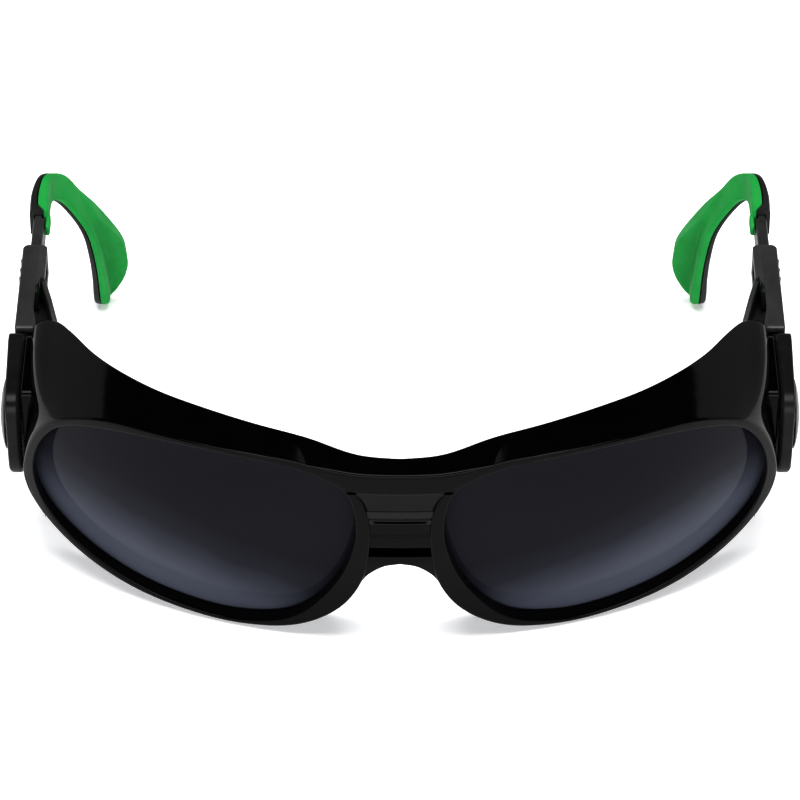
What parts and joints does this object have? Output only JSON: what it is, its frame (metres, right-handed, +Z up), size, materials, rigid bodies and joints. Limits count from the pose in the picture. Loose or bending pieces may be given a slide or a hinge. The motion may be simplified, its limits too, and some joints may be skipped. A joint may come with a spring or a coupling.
{
  "type": "welding goggles",
  "caption": "Wrap-around welding spectacles with dark lenses, a deep brow and side guard, and temples that tilt, fold and slide, ending in soft green ear pads.",
  "frame": {"origin": "bottom centre of the whole object's bounding box, on the surface it stands on", "axes": "+X across the face, to the wearer's left; -Y the way the wearer looks; +Z up"},
  "size_m": [0.164, 0.1307, 0.0485],
  "materials": {
    "frame_plastic": "glossy moulded black",
    "temple_plastic": "satin moulded black",
    "lens_tint": "polished dark grey-blue filter",
    "soft_green": "soft satin moulded green",
    "steel": "plain turned steel"
  },
  "bodies": {
    "frame": {"front_frame": "frame_plastic", "lens_left": "lens_tint", "lens_right": "lens_tint", "pivot_screw_left": "steel", "pivot_screw_right": "steel"},
    "hinge_left": {"hinge_carrier_left": "frame_plastic", "pivot_cap_left": "frame_plastic", "detent_washer_left": "steel", "fold_pin_left": "steel"},
    "hinge_right": {"hinge_carrier_right": "frame_plastic", "pivot_cap_right": "frame_plastic", "detent_washer_right": "steel", "fold_pin_right": "steel"},
    "temple_left": {"temple_sleeve_left": "temple_plastic"},
    "temple_right": {"temple_sleeve_right": "temple_plastic"},
    "ear_left": {"temple_arm_left": "temple_plastic", "arm_inlay_left": "soft_green", "ear_shell_left": "temple_plastic", "ear_pad_left": "soft_green"},
    "ear_right": {"temple_arm_right": "temple_plastic", "arm_inlay_right": "soft_green", "ear_shell_right": "temple_plastic", "ear_pad_right": "soft_green"}
  },
  "joints": [
    {"name": "tilt_left", "type": "hinge", "parent": "frame", "child": "hinge_left", "pos_m": [0.079, -0.01639, 0.02605], "axis": [1, 0, 0], "range_deg": [-10, 5]},
    {"name": "tilt_right", "type": "hinge", "parent": "frame", "child": "hinge_right", "pos_m": [-0.079, -0.01639, 0.02605], "axis": [1, 0, 0], "range_deg": [-10, 5]},
    {"name": "fold_left", "type": "hinge", "parent": "hinge_left", "child": "temple_left", "pos_m": [0.0736, -0.00095, 0.02737], "axis": [0, -0.0854, 0.9963], "range_deg": [0, 90]},
    {"name": "fold_right", "type": "hinge", "parent": "hinge_right", "child": "temple_right", "pos_m": [-0.0736, -0.00095, 0.02737], "axis": [0, 0.0854, -0.9963], "range_deg": [0, 90]},
    {"name": "slide_left", "type": "slide", "parent": "temple_left", "child": "ear_left", "axis": [0, 0.9963, 0.0854], "range_m": [-0.004, 0.005]},
    {"name": "slide_right", "type": "slide", "parent": "temple_right", "child": "ear_right", "axis": [0, 0.9963, 0.0854], "range_m": [-0.004, 0.005]}
  ]
}
